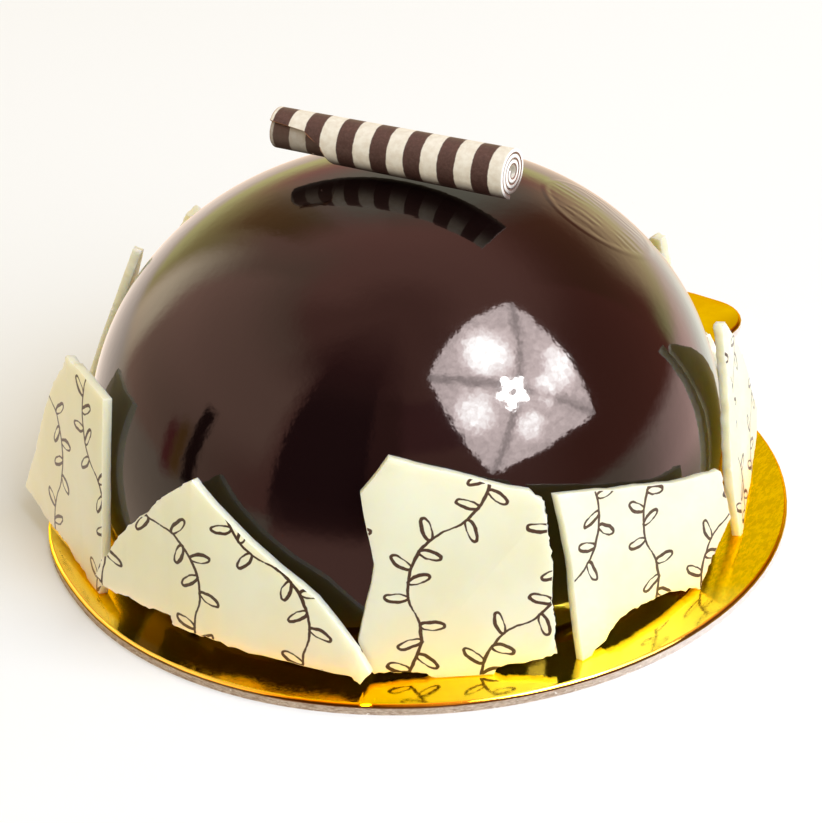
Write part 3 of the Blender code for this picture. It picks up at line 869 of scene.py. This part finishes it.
def stripe_finish():
    material, stripes, shader = new_finish("striped_chocolate_sheet")
    flat, edges = (stripes.vector("SCALE", stripes.node("UVMap", uv_map=name).outputs[0], UV_UNIT)
                   for name in ("flat", "edges"))
    place = stripes.node("TexCoord").outputs["Object"]
    x, y, _ = stripes.node("SeparateXYZ", {0: flat}).outputs
    from_break, depth, _ = stripes.node("SeparateXYZ", {0: edges}).outputs
    ragged = stripes.math("MULTIPLY_ADD", stripes.grain(flat, 0.9, 4, 0.65), 0.26, -0.13)
    phase = stripes.math("DIVIDE", stripes.math("ADD", x, ragged), STRIPE / MM)
    phase = stripes.math("SUBTRACT", phase, STRIPE_SHIFT)
    in_pair = stripes.math("PINGPONG", stripes.math("SUBTRACT", phase, 0.5), 1.0)
    ivory = stripes.ramp(in_pair, 0.47, 0.53)
    margin = stripes.math("MULTIPLY", stripes.ramp(stripes.math("ADD", x, ragged), 0.55, 0.25),
                          stripes.ramp(y, 9, 10))
    ivory = stripes.math("MAXIMUM", ivory, margin)
    fine = stripes.grain(place, 3200, 3, 0.7)
    dark = stripes.mix(stripes.ramp(fine, 0.35, 0.75),
                       colour(0.036, 0.015, 0.010), colour(0.072, 0.036, 0.027))
    pale = stripes.mix(stripes.ramp(stripes.grain(flat, 1.3, 3), 0.3, 0.7),
                       colour(0.82, 0.78, 0.67), colour(0.72, 0.66, 0.54))
    body = stripes.mix(ivory, dark, pale)
    broken = stripes.ramp(from_break, 0.16, 0.04, 0.0, 0.8)
    body = stripes.mix(broken, body, colour(0.36, 0.15, 0.06))
    # painted shade: the inner turns bared by the broken corner at the left end are darkened
    painted_shade_inner_turns = stripes.math("MULTIPLY", stripes.math("GREATER_THAN", y, FIRST_TURN),
                             stripes.ramp(x, 9.5, 8.5, 0, 0.55))
    body = stripes.mix(painted_shade_inner_turns, body, colour(0.06, 0.04, 0.025))
    at_end = stripes.math("GREATER_THAN", x, ROLL_LENGTH / MM - 0.06)
    inner_side = stripes.ramp(depth, -0.30, -0.38)
    ringed = stripes.mix(inner_side, colour(0.98, 0.94, 0.86), colour(0.13, 0.045, 0.02))
    body = stripes.mix(at_end, body, ringed)
    # painted shade: the roll's underside is darkened downwards
    height = stripes.node("SeparateXYZ", {0: place}).outputs[2]
    painted_shade_below = stripes.ramp(height, *UNDERSIDE, 0.0, 0.95)
    body = stripes.mix(painted_shade_below, body, colour(0.03, 0.014, 0.01))
    speck = stripes.math("MULTIPLY", stripes.specks(place, 420.0, 0.8, 0.07, 0.04), 0.75)
    body = stripes.mix(speck, body, colour(0.75, 0.6, 0.48))
    stripes.fill(shader.inputs["Base Color"], body)
    shader.inputs["Roughness"].default_value = 0.5
    raised = stripes.math("MULTIPLY_ADD", ivory, 0.4, fine)
    stripes.fill(shader.inputs["Normal"], stripes.relief(raised, 0.03 * MM))
    return material


striped_sheet = stripe_finish()

# %% Roll
ROLL_RADIUS = 2.9 * MM
ROLL_FLARE = 0.08  # how much wider the right end is than the left, as a share of the radius
ROLL_WALL = 0.5 * MM
ROLL_PITCH = 0.6 * MM  # how much each turn lies inside the one before
ROLL_TURNS = 3.3
ROLL_MIDDLE = Vector((-0.8, 3.3, 45.07)) * MM
ROLL_TURN = math.radians(-29.4)
SEAM = math.radians(-70)  # where the sheet's outer edge lies, from the front
BREAK = ((-70, 7.9), (-30, 7.4), (3, 6.8), (34, 4.5), (45, 0))  # degrees, mm along the roll


def wound_length(angle):
    """How much of the sheet is used up by winding it through an angle."""
    return ROLL_RADIUS * angle - ROLL_PITCH * angle * angle / (4 * math.pi)


def wound_angle(length):
    inner = max(0.0, ROLL_RADIUS * ROLL_RADIUS - ROLL_PITCH * length / math.pi)
    return (ROLL_RADIUS - math.sqrt(inner)) * 2 * math.pi / ROLL_PITCH


def broken_end(degrees):
    """Where the sheet begins along the roll, at an angle from the front."""
    for (low, at_low), (high, at_high) in zip(BREAK, BREAK[1:]):
        if low <= degrees <= high:
            return (at_low + (at_high - at_low) * (degrees - low) / (high - low)) * MM
    return 0.0


sheet_width = wound_length(2 * math.pi * ROLL_TURNS)
bm = bmesh.new()
uv = bm.loops.layers.uv.new("flat")
edges_uv = bm.loops.layers.uv.new("edges")
bmesh.ops.create_grid(bm, x_segments=90, y_segments=210, size=0.5)
bmesh.ops.translate(bm, vec=(0.5, 0.5, 0), verts=bm.verts)
bmesh.ops.scale(bm, vec=(ROLL_LENGTH, sheet_width, 1), verts=bm.verts)
for vert in bm.verts:
    degrees = math.degrees(SEAM + wound_angle(vert.co.y))
    start = broken_end(degrees)
    ragged = noise.noise(Vector((0, vert.co.y / MM, 0)) / 0.7) * 0.16 * MM
    start += ragged if start > 0 else abs(ragged)
    vert.co.x = start + (ROLL_LENGTH - start) * vert.co.x / ROLL_LENGTH
bmesh.ops.solidify(bm, geom=bm.faces[:], thickness=ROLL_WALL)
low, top = (pick(v.co.z for v in bm.verts) for pick in (min, max))
print("wall from", round(low / MM, 2), "to", round(top / MM, 2), "mm")
bevel_rim(bm)
for face in bm.faces:
    for loop in face.loops:
        x, y, z = loop.vert.co
        loop[uv].uv = Vector((x, y)) / MM / UV_UNIT
        begin = broken_end(math.degrees(SEAM + wound_angle(max(y, 0))))
        loop[edges_uv].uv = Vector((x - begin, z - top)) / MM / UV_UNIT
for vert in bm.verts:
    x, y, z = vert.co
    turned = wound_angle(max(y, 0))
    radius = ROLL_RADIUS - ROLL_PITCH * turned / (2 * math.pi) + z - top
    angle = SEAM + turned
    along = x - ROLL_LENGTH / 2
    radius *= 1 + ROLL_FLARE * along / ROLL_LENGTH
    vert.co = (along, -radius * math.cos(angle), radius * math.sin(angle))
roll_stand = Matrix.Translation(ROLL_MIDDLE) @ Matrix.Rotation(ROLL_TURN, 4, "Z")
bmesh.ops.transform(bm, matrix=roll_stand, verts=bm.verts)
if bm.calc_volume(signed=True) < 0:
    bmesh.ops.reverse_faces(bm, faces=bm.faces)
settle(bm, "striped_roll", "chocolate_roll", [striped_sheet])
